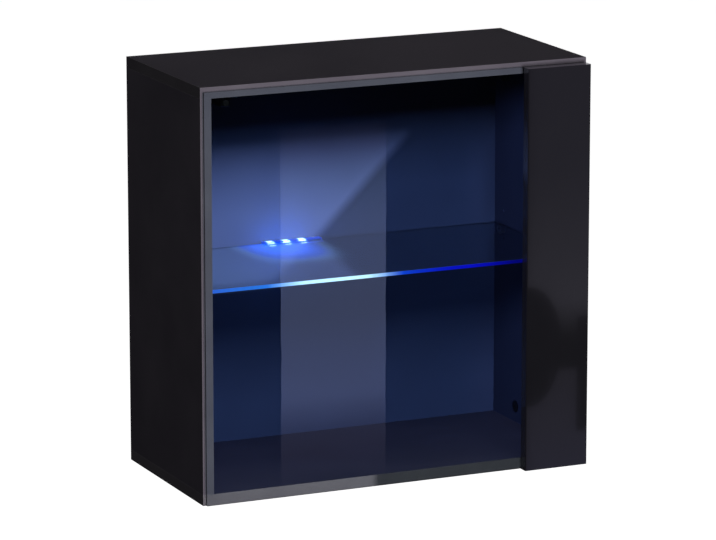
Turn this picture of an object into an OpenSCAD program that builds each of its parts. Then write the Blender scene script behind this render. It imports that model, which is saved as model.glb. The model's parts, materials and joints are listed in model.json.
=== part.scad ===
// Wall-hung display cabinet with a hinged glass door and one glass shelf.
// Row frame: +X to the viewer's right, +Y into the wall, +Z up.
// The origin lies in the wall plane, at the centre of the four wall-plate holes.
// Inside the modules heights count up from the cabinet's underside, and hung() moves
// the result down so that the hole pattern's centre is at the origin.

/* [Cabinet] */
// Outer width of the carcass
cabinet_w = 600; // [480:10:900]
// Outer height of the carcass
cabinet_h = 600; // [480:10:900]
// Depth of the carcass boards, from the wall to their front edge
carcass_d = 278; // [240:2:340]
// Thickness of the laminated boards
board_t = 16; // [16:1:18]
// Thickness of the edging strips on the boards
edging_t = 0.8; // [0.4:0.2:1]
// Thickness of the fibreboard back
back_t = 3; // [2.5:0.5:4]
// Space between the back board and the wall
back_recess = 12; // [12:1:15]
// Depth of the groove that holds the back board
groove_d = 7; // [5:1:8]

/* [Door] */
// Gap between the carcass and the door pane
door_gap = 1.5; // [1.5:0.5:3]
// Thickness of the door pane
pane_t = 4; // [4:1:5]
// Thickness of the bonding tape between pane and strip
tape_t = 0.5; // [0.5:0.1:1]
// Width of the lacquered strip
strip_w = 100; // [90:5:140]
// Thickness of the lacquered strip
strip_t = 16; // [16:1:19]
// Overlap of the pane behind the strip
pane_overlap = 38; // [25:1:40]
// Height of the top board's edge left showing above the door
top_reveal = 6.5; // [3:0.5:10]
// Height of the door's lower edge above the cabinet's underside
bottom_reveal = 0.5; // [0:0.5:4]
// Reveal beside the pane's free edge
free_reveal = 3.5; // [2:0.5:6]
// Reveal beside the strip's outer edge
hinge_reveal = 3; // [2.5:0.5:3.5]

/* [Shelf] */
// Thickness of the glass shelf
shelf_t = 5; // [4:1:8]
// Side clearance of the glass shelf
shelf_side_gap = 1.5; // [1:0.5:3]
// Distance of the shelf's front edge behind the carcass front
shelf_setback = 3; // [3:1:30]
// Distance from the shelf's rear edge to the back board
shelf_rear_gap = 8; // [8:1:30]
// Spacing of the shelf pin holes
pin_pitch = 32; // [25:1:40]

/* [Light] */
// Length of the light clip
led_clip_l = 92; // [84:2:120]
// Distance of the clip's centre from the cabinet's centre line
led_clip_x = -52; // [-150:1:150]
// Spacing of the three light emitters
led_pitch = 24.5; // [16:0.5:26]

/* [Fittings] */
// Height of the hinges above the cabinet's underside, and below its top
hinge_inset = 90; // [80:5:120]
// Diameter of the hinge cups
cup_dia = 35; // [35:1:36]
// Distance from each side board's inner face to the wall plate's centre line
plate_inset = 26; // [24:1:40]
// Diameter of the wall-plate holes
wall_hole_dia = 6; // [5:0.5:7]

/* [Hidden] */

fn_round = 48;
eps = 0.01;

// Main planes
half_w = cabinet_w / 2;
inner_x = half_w - board_t;
front_y = -carcass_d;
side_h = cabinet_h - 2 * board_t;
inner_top = cabinet_h - board_t;
back_front_y = -(back_recess + back_t);
hang_z = cabinet_h - 62;

// Knock-down fittings: rows counted from the carcass front, heights from the board ends
fitting_x = half_w - board_t / 2;
cam_rows = [front_y + 37, -90];
dowel_rows = [front_y + 69, -122];
cam_reach = 24;
cam_r = 7.5;
cam_depth = 12.5;
bolt_thread_r = 2.5;
bolt_thread_l = 11;
bolt_bore_r = 4;
dowel_r = 4;
dowel_in_face = 11;
dowel_in_end = 24;

// Wall plates and hangers, heights from the cabinet's underside
plate_x = inner_x - plate_inset;
plate_w = 46;
plate_t = 2;
plate_hole_pitch = 24;
lip_gap = 4;
lip_bottom = cabinet_h - 42;
lip_top = cabinet_h - 28;
hanger_w = 14;
hanger_l = 46;
hanger_wall = 1.6;
hanger_bottom = cabinet_h - 68;
hanger_top = inner_top - 0.5;
hanger_rear_y = back_front_y - 0.2;
hanger_front_y = hanger_rear_y - hanger_l;
hook_t = 2.5;
hook_x = inner_x - hanger_w / 2;
peg_r = 5;
peg_l = 10;
peg_y = hanger_rear_y - 33;
peg_heights = [hanger_bottom + 13, hanger_top - 13];
hanger_screw_z = hanger_bottom + 9;
hanger_screw_offsets = [-2.8, 2.8];

// Shelf, its pins and the light clip
pin_r = 2.5;
pin_depth = 8;
pin_hole_depth = 10;
pin_stick_out = 8;
pin_rows = [front_y + 37, -46];
mid_z = cabinet_h / 2;
pad_r = 7;
pad_rise = 6;
shelf_z = mid_z + pad_rise;
shelf_front_y = front_y + shelf_setback;
shelf_rear_y = back_front_y - shelf_rear_gap;
clip_t = 1.2;
clip_pad_t = 0.4;
clip_web_y = shelf_rear_y + 4.6;
clip_lip = 5;
clip_lower_lip = 12;
board_t_led = 1.2;
emitter_size = [5, 1.4, 3.6];
lead_hole_r = 4;
lead_hole_x = led_clip_x + led_clip_l / 2 - 8;
led_shift = 10; // the emitters sit left of the clip's centre and leave room for the lead

// Door planes
pane_back_y = front_y - door_gap;
pane_front_y = pane_back_y - pane_t;
strip_back_y = pane_front_y - tape_t;
strip_front_y = strip_back_y - strip_t;
door_bottom = bottom_reveal;
door_top = cabinet_h - top_reveal;
strip_x1 = half_w - hinge_reveal;
strip_x0 = strip_x1 - strip_w;
pane_x0 = -half_w + free_reveal;
pane_x1 = strip_x0 + pane_overlap;
strip_corner_r = 1.2;
pane_corner_r = 0.8;
tape_w = 12;

// Hinges: places in plan, measured from the right board's inner front corner
hinge_heights = [hinge_inset, cabinet_h - hinge_inset];
cup_x = strip_x1 - 22;
cup_r = cup_dia / 2;
cup_depth = 12;
cup_wall = 1.15;
cup_floor = 0.8;
flange_t = 1.2;
cup_screw_pitch = 48;
cup_screw_x = cup_x - 6;
arm_pivot = [inner_x - 14, front_y + 5];
door_pivot = [inner_x + 2.5, front_y - 10.5];
link_knee = door_pivot + [-7.77, -3.46];
link_half_h = 7;
link_r = 2.2;
hinge_pin_r = 1.25;
pin_clearance = 0.06;
ear_gap = 0.3;
ear_t = 1.5;
ear_out = link_half_h + ear_gap + ear_t;
arm_web_x = inner_x - 19.5;
arm_rear_y = front_y + 54;
plate_y = front_y + 37;
plate_screw_pitch = 32;
ridge_x = inner_x - 12;

// Push latch under the top board, near the pane's free edge
latch_x = -half_w + 38;
latch_z = inner_top - 7;
latch_w = 14;
latch_l = 74;
latch_front_y = front_y + 1.7;
plunger_r = 3;
plunger_l = 38;
tip_r = 4.5;
tip_gap = 0.2;
latch_screw_ys = [latch_front_y + 16, latch_front_y + latch_l - 10];
spring_r = 2.2;
spring_wire_r = 0.3;
spring_turns = 7;
spring_sides = 6;
spring_steps = 10;

// Moves a shape from the cabinet's own height scale to the row frame
module hung() {
    translate([0, 0, -hang_z]) children();
}

// A box from its lowest corner to its highest corner
module span(lo, hi) {
    translate(lo) cube(hi - lo);
}

// A cylinder from one point along an axis named by its direction
module rod(at, dir, len, r) {
    turn = dir == "x" ? [0, 90, 0] : dir == "y" ? [-90, 0, 0] : [0, 0, 0];
    translate(at) rotate(turn) cylinder(h = len, r = r, $fn = fn_round);
}

// A flat outline with true round corners
module round_rect(size, r) {
    translate([r, 0]) square([size.x - 2 * r, size.y]);
    translate([0, r]) square([size.x, size.y - 2 * r]);
    for (x = [r, size.x - r], y = [r, size.y - r])
        translate([x, y]) circle(r = r, $fn = fn_round);
}

// A bar along plan points, with a round eye of radius r at each point and a slimmer waist
module plan_path(points, r) {
    waist = r - 0.3;
    for (i = [1:len(points) - 1]) {
        run = points[i] - points[i - 1];
        translate(points[i - 1]) rotate(atan2(run.y, run.x)) translate([0, -waist])
            square([norm(run), 2 * waist]);
    }
    for (p = points) translate(p) circle(r = r, $fn = fn_round);
}

// Repeats a shape on the left and mirrored on the right
module both_sides() {
    for (side = [0, 1]) mirror([side, 0, 0]) children();
}

// Repeats a shape at both hinge heights
module at_hinges() {
    for (z = hinge_heights) translate([0, 0, z]) children();
}

// Bores in the underside of the top board, drawn for its right end
module face_bores(z, up) {
    for (y = cam_rows)
        rod([fitting_x, y, up ? z - eps : z - bolt_thread_l], "z", bolt_thread_l + eps, bolt_thread_r);
    for (y = dowel_rows)
        rod([fitting_x, y, up ? z - eps : z - dowel_in_face], "z", dowel_in_face + eps, dowel_r);
}

// Groove for the back board in a horizontal board
module groove_across(z0) {
    reach = inner_x + groove_d;
    span([-reach, -back_recess - back_t, z0], [reach, -back_recess, z0 + groove_d]);
}

module top_panel() {
    hung() color("#26242a") difference() {
        span([-half_w + edging_t, front_y + edging_t, inner_top],
             [half_w - edging_t, 0, cabinet_h]);
        both_sides() face_bores(inner_top, true);
        translate([0, 0, -eps]) groove_across(inner_top);
        for (y = latch_screw_ys) rod([latch_x, y, inner_top - eps], "z", 10, 1.5);
    }
}

module bottom_panel() {
    hung() color("#26242a") difference() {
        span([-half_w + edging_t, front_y + edging_t, 0],
             [half_w - edging_t, 0, board_t]);
        both_sides() face_bores(board_t + eps, false);
        groove_across(board_t - groove_d + eps);
    }
}

// Edging on the front and both ends of a horizontal board
module board_edging(z0) {
    difference() {
        span([-half_w, front_y, z0], [half_w, 0, z0 + board_t]);
        span([-half_w + edging_t, front_y + edging_t, z0 - 1],
             [half_w - edging_t, 1, z0 + board_t + 1]);
    }
}

module top_panel_edging() {
    hung() color("#3a383f") board_edging(inner_top);
}

module bottom_panel_edging() {
    hung() color("#3a383f") board_edging(0);
}

module side_panel_edging() {
    hung() color("#3a383f") both_sides()
        span([inner_x, front_y, board_t], [half_w, front_y + edging_t, inner_top]);
}

// The upright board, drawn on the right, with every bore that both boards share
module side_panel() {
    difference() {
        span([inner_x, front_y + edging_t, board_t], [half_w, 0, inner_top]);
        span([inner_x - eps, -back_recess - back_t, board_t - 1],
             [inner_x + groove_d, -back_recess, inner_top + 1]);
        for (top = [0, 1]) {
            cam_z = top ? inner_top - cam_reach : board_t + cam_reach;
            for (y = cam_rows) {
                rod([inner_x - eps, y, cam_z], "x", cam_depth + eps, cam_r);
                rod([fitting_x, y, top ? cam_z : board_t - 1], "z", cam_reach + 1, bolt_bore_r);
            }
            for (y = dowel_rows)
                rod([fitting_x, y, top ? inner_top - dowel_in_end : board_t - 1],
                    "z", dowel_in_end + 1, dowel_r);
        }
        for (y = pin_rows, step = [-1, 0, 1])
            rod([inner_x - eps, y, mid_z + step * pin_pitch], "x", pin_hole_depth + eps, pin_r);
        for (z = peg_heights)
            rod([inner_x - eps, peg_y, z], "x", peg_l + eps, peg_r);
    }
}

module left_side_panel() {
    hung() color("#1c1a1e") mirror([1, 0, 0]) side_panel();
}

module right_side_panel() {
    hung() color("#1c1a1e") difference() {
        side_panel();
        at_hinges() for (s = [-1, 1])
            rod([inner_x - eps, plate_y, s * plate_screw_pitch / 2], "x", 12, 2.5);
    }
}

module back_panel() {
    reach = inner_x + groove_d - 0.5;
    hung() color("#303038") difference() {
        span([-reach, back_front_y, board_t - groove_d + 0.5],
             [reach, -back_recess, inner_top + groove_d - 0.5]);
        both_sides() span([hook_x - 4, back_front_y - 1, lip_bottom - 4],
                          [hook_x + 4, -back_recess + 1, inner_top - 2]);
        rod([lead_hole_x, back_front_y - 1, shelf_z + shelf_t / 2], "y", back_t + 2, lead_hole_r);
    }
}

module wood_dowels() {
    hung() color("#c9a36b") both_sides() for (y = dowel_rows) {
        rod([fitting_x, y, inner_top - dowel_in_end + 1], "z", dowel_in_end + dowel_in_face - 2, dowel_r);
        rod([fitting_x, y, board_t - dowel_in_face + 1], "z", dowel_in_end + dowel_in_face - 2, dowel_r);
    }
}

// One connecting bolt, screwed upwards into a board whose face is at height zero
module cam_bolt() {
    rod([0, 0, 0], "z", bolt_thread_l, bolt_thread_r);
    rod([0, 0, -1.2], "z", 1.2 + eps, 3.6);
    rod([0, 0, -cam_reach + 1], "z", cam_reach - 1, 2);
    rod([0, 0, -cam_reach - 3], "z", 4, 3.4);
}

module cam_bolts() {
    hung() color("silver") both_sides() for (y = cam_rows) {
        translate([fitting_x, y, inner_top]) cam_bolt();
        translate([fitting_x, y, board_t]) mirror([0, 0, 1]) cam_bolt();
    }
}

// One cam, with the pocket that grips the bolt's head and a cross slot for the driver
module cam_lock() {
    difference() {
        rod([0, 0, 0], "x", cam_depth - 0.2, cam_r - 0.05);
        rod([board_t / 2 - 0.2, 0, -4.2], "z", cam_r + 5, 3.6);
        for (slot = [[1.2, 8], [8, 1.2]])
            translate([-1, -slot.x / 2, -slot.y / 2]) cube([2.2, slot.x, slot.y]);
    }
}

module cam_locks() {
    hung() color("#b8b8ba") both_sides() for (y = cam_rows) {
        translate([inner_x + 0.2, y, inner_top - cam_reach]) cam_lock();
        translate([inner_x + 0.2, y, board_t + cam_reach]) mirror([0, 0, 1]) cam_lock();
    }
}

module cam_caps() {
    cap_heights = [board_t + cam_reach, inner_top - cam_reach];
    hung() color("#1c1a1e") both_sides() for (y = cam_rows, z = cap_heights)
        translate([inner_x, y, z]) rotate([0, -90, 0]) {
            cylinder(h = 0.7, r = 9, $fn = fn_round);
            translate([0, 0, 0.7 - eps]) cylinder(h = 0.5, r1 = 9, r2 = 8.2, $fn = fn_round);
        }
}

// Steel plate screwed to the wall, with a raised lip that carries the hook
module wall_plates() {
    hung() color("#c4c6c9") both_sides() difference() {
        union() {
            span([plate_x - plate_w / 2, -plate_t, lip_bottom - 40],
                 [plate_x + plate_w / 2, 0, lip_bottom + plate_t]);
            span([plate_x - plate_w / 2, -plate_t * 2 - lip_gap, lip_bottom],
                 [plate_x + plate_w / 2, 0, lip_bottom + plate_t]);
            span([plate_x - plate_w / 2, -plate_t * 2 - lip_gap, lip_bottom],
                 [plate_x + plate_w / 2, -plate_t - lip_gap, lip_top]);
        }
        for (s = [-1, 1])
            rod([plate_x, -plate_t - 1, hang_z + s * plate_hole_pitch / 2],
                "y", plate_t + 2, wall_hole_dia / 2);
    }
}

// Plastic hanger box in the upper rear corner, open at the front and at the back
module hanger_housing() {
    x0 = inner_x - hanger_w;
    difference() {
        union() {
            span([x0, hanger_front_y, hanger_bottom], [inner_x, hanger_rear_y, hanger_top]);
            for (z = peg_heights) rod([inner_x - eps, peg_y, z], "x", peg_l, peg_r - 0.05);
        }
        span([x0 + hanger_wall, hanger_front_y - 1, hanger_bottom + 16],
             [inner_x - hanger_wall, hanger_rear_y + 1, hanger_top - hanger_wall]);
        span([x0 + hanger_wall, hanger_front_y - 1, hanger_bottom + hanger_wall],
             [inner_x - hanger_wall, hanger_front_y + 12, hanger_bottom + 17]);
        for (dx = hanger_screw_offsets)
            rod([hook_x + dx, hanger_front_y, hanger_screw_z], "y", 36, 2);
    }
}

module hanger_housings() {
    hung() color("#1e1e22") both_sides() hanger_housing();
}

// Steel hook in the box, which passes through the back board and over the wall plate's lip
module hanger_hooks() {
    tip_y = -plate_t * 2 - lip_gap;
    hung() color("#c4c6c9") both_sides()
        translate([hook_x - hook_t / 2, 0, 0]) rotate([90, 0, 90]) linear_extrude(hook_t) difference() {
            polygon([
                [hanger_front_y + 8, lip_bottom - 4], [tip_y - 0.5, lip_bottom - 4],
                [tip_y - 0.5, lip_top + 1], [-plate_t - lip_gap + 0.5, lip_top + 1],
                [-plate_t - lip_gap + 0.5, lip_bottom + 4], [-plate_t - 1, lip_bottom + 4],
                [-plate_t - 1, lip_top + 8], [hanger_front_y + 8, lip_top + 8]
            ]);
            translate([hanger_front_y + 18, lip_bottom + 12]) round_rect([14, 6], 2.9);
        }
}

module hanger_screws() {
    hung() color("#c4c6c9") both_sides() for (dx = hanger_screw_offsets) difference() {
        union() {
            rod([hook_x + dx, hanger_front_y + 10, hanger_screw_z], "y", 25, 2);
            rod([hook_x + dx, hanger_front_y + 8, hanger_screw_z], "y", 2 + eps, 2.6);
        }
        for (slot = [[0.8, 3.6], [3.6, 0.8]])
            translate([hook_x + dx - slot.x / 2, hanger_front_y + 7, hanger_screw_z - slot.y / 2])
                cube([slot.x, 2, slot.y]);
    }
}

// Snap-on cover over the hanger box's front
module hanger_covers() {
    x0 = inner_x - hanger_w;
    rim = hanger_wall + 0.1;
    hung() color("#1e1e22") both_sides() {
        translate([x0, hanger_front_y, hanger_bottom]) rotate([90, 0, 0])
            linear_extrude(1.6) round_rect([hanger_w, hanger_top - hanger_bottom], 1.5);
        difference() {
            span([x0 + rim, hanger_front_y - eps, hanger_bottom + rim],
                 [inner_x - rim, hanger_front_y + 4, hanger_top - rim]);
            span([x0 + rim + 1, hanger_front_y + eps, hanger_bottom + rim + 1],
                 [inner_x - rim - 1, hanger_front_y + 5, hanger_top - rim - 1]);
        }
    }
}

// Shelf with a small polished chamfer on every long edge
module glass_shelf() {
    w = 2 * (inner_x - shelf_side_gap);
    d = shelf_rear_y - shelf_front_y;
    c = 0.5;
    hung() color("#a8c4d0", 0.4)
        translate([-w / 2, shelf_front_y, shelf_z]) rotate([90, 0, 90]) linear_extrude(w)
            polygon([[c, 0], [d - c, 0], [d, c], [d, shelf_t - c],
                     [d - c, shelf_t], [c, shelf_t], [0, shelf_t - c], [0, c]]);
}

module shelf_pins() {
    hung() color("silver") both_sides() for (y = pin_rows)
        rod([inner_x - pin_stick_out, y, mid_z], "x", pin_stick_out + pin_depth, pin_r);
}

// Soft sleeve on each pin, flat where the glass rests on it
module shelf_pads() {
    hung() color("#d8dcdf") both_sides() for (y = pin_rows) difference() {
        intersection() {
            rod([inner_x - pin_stick_out, y, mid_z], "x", pin_stick_out, pad_r);
            span([0, y - pad_r, mid_z - pad_r], [inner_x, y + pad_r, shelf_z]);
        }
        rod([inner_x - pin_stick_out - 1, y, mid_z], "x", pin_stick_out + 2, pin_r);
    }
}

// Aluminium channel gripping the shelf's rear edge, with a window over each emitter
module led_clip() {
    lo_z = shelf_z - clip_pad_t - clip_t;
    hi_z = shelf_z + shelf_t + clip_pad_t + clip_t;
    x0 = led_clip_x - led_clip_l / 2;
    hung() color("#9aa0a8") difference() {
        span([x0, shelf_rear_y - clip_lower_lip, lo_z], [x0 + led_clip_l, clip_web_y + clip_t, hi_z]);
        span([x0 - 1, shelf_rear_y - clip_lower_lip - 1, lo_z + clip_t],
             [x0 + led_clip_l + 1, clip_web_y, hi_z - clip_t]);
        span([x0 - 1, shelf_rear_y - clip_lower_lip - 1, hi_z - clip_t - 1],
             [x0 + led_clip_l + 1, shelf_rear_y - clip_lip, hi_z + 1]);
        for (i = [-1, 0, 1])
            translate([led_x(i) - 4.5, shelf_rear_y - clip_lip - 1, hi_z - clip_t - 1])
                cube([9, clip_lip + 4, clip_t + 2]);
        rod([lead_hole_x, clip_web_y - 1, shelf_z + shelf_t / 2], "y", clip_t + 2, 2);
    }
}

// Place of one of the three emitters along the clip
function led_x(i) = led_clip_x - led_shift + i * led_pitch;

module led_clip_pads() {
    x0 = led_clip_x - led_clip_l / 2;
    hung() color("#e4e6e8") {
        span([x0 + 2, shelf_rear_y - clip_lower_lip + 1, shelf_z - clip_pad_t],
             [x0 + led_clip_l - 2, shelf_rear_y - 1, shelf_z]);
        for (end = [x0 + 1, x0 + led_clip_l - 13])
            span([end, shelf_rear_y - clip_lip + 0.5, shelf_z + shelf_t],
                 [end + 12, shelf_rear_y - 1, shelf_z + shelf_t + clip_pad_t]);
    }
}

module led_board() {
    hung() color("#f2f2ee")
        span([led_clip_x - led_clip_l / 2 + 2, clip_web_y - board_t_led, shelf_z + 0.2],
             [led_clip_x + led_clip_l / 2 - 13, clip_web_y, shelf_z + shelf_t - 0.2]);
}

// Three emitters, each a small block with a domed lens towards the glass
module led_emitters() {
    hung() color("#f4f6ff") for (i = [-1, 0, 1])
        translate([led_x(i), clip_web_y - board_t_led, shelf_z + shelf_t / 2]) {
            translate([-emitter_size.x / 2, -emitter_size.y, -emitter_size.z / 2]) cube(emitter_size);
            rotate([90, 0, 0]) cylinder(h = emitter_size.y + 0.4, r1 = 1.6, r2 = 1.2, $fn = fn_round);
        }
}

// Cross-shaped mounting plate with the ridge that the hinge arm slides onto
module hinge_plates() {
    hung() color("silver") at_hinges() difference() {
        union() {
            span([inner_x - 2, plate_y - 12, -14], [inner_x, plate_y + 12, 14]);
            translate([inner_x - 2, plate_y - 7, -26]) rotate([90, 0, 90])
                linear_extrude(2) round_rect([14, 52], 5);
            span([ridge_x, plate_y - 20, -6.5], [inner_x - 2 + eps, plate_y + 19, 6.5]);
        }
        for (s = [-1, 1])
            rod([inner_x - 3, plate_y, s * plate_screw_pitch / 2], "x", 4, 2.5);
        for (y = [plate_y - 8, plate_y + 8])
            rod([ridge_x - 1, y, 0], "x", 9, 2);
    }
}

// One screw along X with a domed, cross-slotted head that faces away from the board
module screw_x(at, head_r, head_h, shank_r, shank_l) {
    translate(at) difference() {
        union() {
            rod([0, 0, 0], "x", shank_l, shank_r);
            rotate([0, -90, 0]) cylinder(h = head_h, r1 = head_r, r2 = head_r * 0.8, $fn = fn_round);
        }
        for (slot = [[0.9, head_r * 1.2], [head_r * 1.2, 0.9]])
            translate([-head_h - 1, -slot.x / 2, -slot.y / 2]) cube([2, slot.x, slot.y]);
    }
}

module hinge_plate_screws() {
    hung() color("silver") at_hinges() for (s = [-1, 1])
        screw_x([inner_x - 2, plate_y, s * plate_screw_pitch / 2], 3.8, 1.6, 2.5, 12);
}

// Channel arm on the mounting plate, with two ears at its nose for the link's pin
module hinge_arms() {
    hung() color("silver") at_hinges() difference() {
        translate([0, 0, -ear_out]) linear_extrude(2 * ear_out) {
            span_2d([arm_web_x, arm_pivot.y + 6], [arm_web_x + 1.5, arm_rear_y]);
            span_2d([arm_web_x, arm_pivot.y + 4], [inner_x - 5, arm_rear_y]);
            plan_path([arm_pivot, arm_pivot + [0, 6]], 3.4);
        }
        span([arm_web_x + 1.5, arm_pivot.y + 5, -ear_out + ear_t],
             [inner_x, arm_rear_y + 1, ear_out - ear_t]);
        span([arm_web_x - 1, arm_pivot.y - 5, -ear_out + ear_t],
             [inner_x, arm_pivot.y + 6 - eps, ear_out - ear_t]);
        rod([arm_pivot.x, arm_pivot.y, -ear_out - 1], "z", 2 * ear_out + 2, hinge_pin_r);
        for (y = [plate_y - 8, plate_y + 8])
            rod([arm_web_x - 1, y, 0], "x", 4, 2);
    }
}

// A flat rectangle from its lowest corner to its highest corner
module span_2d(lo, hi) {
    translate(lo) square(hi - lo);
}

module hinge_arm_screws() {
    hung() color("silver") at_hinges() for (y = [plate_y - 8, plate_y + 8])
        screw_x([arm_web_x, y, 0], 3.6, 1.6, 2, 14);
}

// A riveted pin along Z through both ears
module hinge_pin(at, half_h, head_r) {
    rod([at.x, at.y, -half_h], "z", 2 * half_h, hinge_pin_r);
    for (z = [-half_h - 0.6, half_h])
        rod([at.x, at.y, z], "z", 0.6, head_r);
}

module hinge_arm_pins() {
    hung() color("silver") at_hinges() hinge_pin(arm_pivot, ear_out, 2);
}

// Bent link between the arm and the cup, with an eye for a pin at each end
module hinge_links() {
    bore_r = hinge_pin_r + pin_clearance;
    hung() color("silver") at_hinges() difference() {
        translate([0, 0, -link_half_h]) linear_extrude(2 * link_half_h)
            plan_path([door_pivot, link_knee, arm_pivot], link_r);
        for (p = [door_pivot, arm_pivot])
            rod([p.x, p.y, -link_half_h - 1], "z", 2 * link_half_h + 2, bore_r);
    }
}

// Cup pressed into the strip, with its screw flange on the strip's back
module hinge_cups() {
    hung() color("silver") at_hinges() difference() {
        union() {
            rod([cup_x, strip_back_y - cup_depth, 0], "y", cup_depth, cup_r - 0.05);
            translate([0, strip_back_y + flange_t, 0]) rotate([90, 0, 0]) linear_extrude(flange_t) {
                translate([cup_x, 0]) circle(r = cup_r + 1.5, $fn = fn_round);
                translate([cup_screw_x - 7, -31]) round_rect([16, 62], 5);
            }
        }
        rod([cup_x, strip_back_y - cup_depth + cup_floor, 0], "y", 20, cup_r - cup_wall);
        for (s = [-1, 1])
            rod([cup_screw_x, strip_back_y - 1, s * cup_screw_pitch / 2], "y", 4, 2);
        rod([door_pivot.x, door_pivot.y, -cup_r], "z", 2 * cup_r, hinge_pin_r);
    }
}

module hinge_cup_screws() {
    hung() color("silver") at_hinges() for (s = [-1, 1])
        translate([cup_screw_x, 0, s * cup_screw_pitch / 2]) difference() {
            union() {
                rod([0, strip_back_y - 11, 0], "y", 11 + flange_t, 2);
                translate([0, strip_back_y + flange_t, 0]) rotate([-90, 0, 0])
                    cylinder(h = 1.5, r1 = 3.6, r2 = 2.8, $fn = fn_round);
            }
            for (slot = [[0.9, 4.2], [4.2, 0.9]])
                translate([-slot.x / 2, strip_back_y + flange_t + 0.6, -slot.y / 2])
                    cube([slot.x, 2, slot.y]);
        }
}

module hinge_cup_pins() {
    reach = sqrt(pow(cup_r - 0.3, 2) - pow(door_pivot.x - cup_x, 2)) - 0.8;
    hung() color("silver") at_hinges()
        rod([door_pivot.x, door_pivot.y, -reach], "z", 2 * reach, hinge_pin_r);
}

// Clear pane with ground edges and slightly rounded corners
module door_glass() {
    h = door_top - door_bottom;
    w = pane_x1 - pane_x0;
    hung() color("#90a0a8", 0.4)
        translate([pane_x0, pane_back_y, door_bottom]) rotate([90, 0, 0])
            linear_extrude(pane_t) round_rect([w, h], pane_corner_r);
}

// Lacquered strip on the hinge side, bored from behind for the two cups
module door_strip() {
    hung() color("#101014") difference() {
        translate([strip_x0, strip_front_y, door_bottom])
            linear_extrude(door_top - door_bottom) round_rect([strip_w, strip_t], strip_corner_r);
        at_hinges() {
            rod([cup_x, strip_back_y - cup_depth, 0], "y", cup_depth + 1, cup_r);
            for (s = [-1, 1])
                rod([cup_screw_x, strip_back_y - 11, s * cup_screw_pitch / 2], "y", 12, 2);
        }
    }
}

// Two lines of bonding tape between the strip and the pane
module strip_tapes() {
    hung() color("#15151a") for (x = [strip_x0 + 3, pane_x1 - tape_w - 3])
        span([x, strip_back_y, door_bottom + 8], [x + tape_w, pane_front_y, door_top - 8]);
}

// Housing of the push latch, with the bore that guides its plunger
module latch_body() {
    hung() color("#1e1e22") difference() {
        translate([latch_x - latch_w / 2, latch_front_y, latch_z - 7]) rotate([90, 0, 90])
            linear_extrude(latch_w) union() {
                translate([0, 3]) square([latch_l, 11]);
                translate([3, 0]) square([latch_l - 6, 14]);
                for (y = [3, latch_l - 3]) translate([y, 3]) circle(r = 3, $fn = fn_round);
            }
        rod([latch_x, latch_front_y - 1, latch_z - 1.5], "y", latch_l - 9, plunger_r + 0.3);
        for (y = latch_screw_ys) {
            rod([latch_x, y, latch_z - 8], "z", 3.5, 3);
            rod([latch_x, y, latch_z - 8], "z", 4, 1.5);
            rod([latch_x, y, latch_z + 2.5], "z", 6, 1.5);
        }
    }
}

module latch_screws() {
    hung() color("silver") for (y = latch_screw_ys)
        rod([latch_x, y, latch_z + 2.5], "z", 13, 1.5);
}

// Points of a helix wire ring by ring, along +Y from the origin
function ring_point(i, j, length) =
    let (turn = 360 * i / spring_steps,
         along = length * i / (spring_turns * spring_steps),
         around = 360 * j / spring_sides,
         r = spring_r + spring_wire_r * cos(around))
    [r * cos(turn), along + spring_wire_r * sin(around), r * sin(turn)];

// Compression spring behind the plunger
module latch_spring() {
    rings = spring_turns * spring_steps;
    start_y = latch_front_y + plunger_l + 0.5;
    end_y = latch_front_y + latch_l - 10.6;
    points = [for (i = [0:rings], j = [0:spring_sides - 1]) ring_point(i, j, end_y - start_y)];
    sides = [for (i = [0:rings - 1], j = [0:spring_sides - 1])
        let (a = i * spring_sides, b = a + spring_sides, k = (j + 1) % spring_sides)
        each [[a + j, a + k, b + k], [a + j, b + k, b + j]]];
    last = rings * spring_sides;
    ends = [[for (j = [spring_sides - 1:-1:0]) j], [for (j = [0:spring_sides - 1]) last + j]];
    hung() color("silver") translate([latch_x, start_y, latch_z - 1.5])
        polyhedron(points = points, faces = concat(sides, ends), convexity = 8);
}

module latch_plunger() {
    hung() color("#4a4a50") {
        rod([latch_x, pane_back_y + tip_gap + 2.4, latch_z - 1.5], "y",
            plunger_l + latch_front_y - pane_back_y - tip_gap - 2.4, plunger_r);
    }
}

module latch_tip() {
    hung() color("#2a2a2e")
        translate([latch_x, pane_back_y + tip_gap, latch_z - 1.5]) rotate([-90, 0, 0]) {
            cylinder(h = 0.8, r1 = tip_r - 0.8, r2 = tip_r, $fn = fn_round);
            translate([0, 0, 0.8 - eps]) cylinder(h = 1.6 + eps, r = tip_r, $fn = fn_round);
        }
}

top_panel();
bottom_panel();
left_side_panel();
right_side_panel();
back_panel();
top_panel_edging();
bottom_panel_edging();
side_panel_edging();
wood_dowels();
cam_bolts();
cam_locks();
cam_caps();
wall_plates();
hanger_housings();
hanger_hooks();
hanger_screws();
hanger_covers();
glass_shelf();
shelf_pins();
shelf_pads();
led_clip();
led_clip_pads();
led_board();
led_emitters();
hinge_plates();
hinge_plate_screws();
hinge_arms();
hinge_arm_screws();
hinge_arm_pins();
hinge_links();
hinge_cups();
hinge_cup_screws();
hinge_cup_pins();
door_glass();
door_strip();
strip_tapes();
latch_body();
latch_screws();
latch_spring();
latch_plunger();
latch_tip();
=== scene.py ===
"""Looks of the wall-hung display cabinet: materials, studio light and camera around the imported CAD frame."""

import json
import math

import bpy
from mathutils import Matrix, Vector


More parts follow.
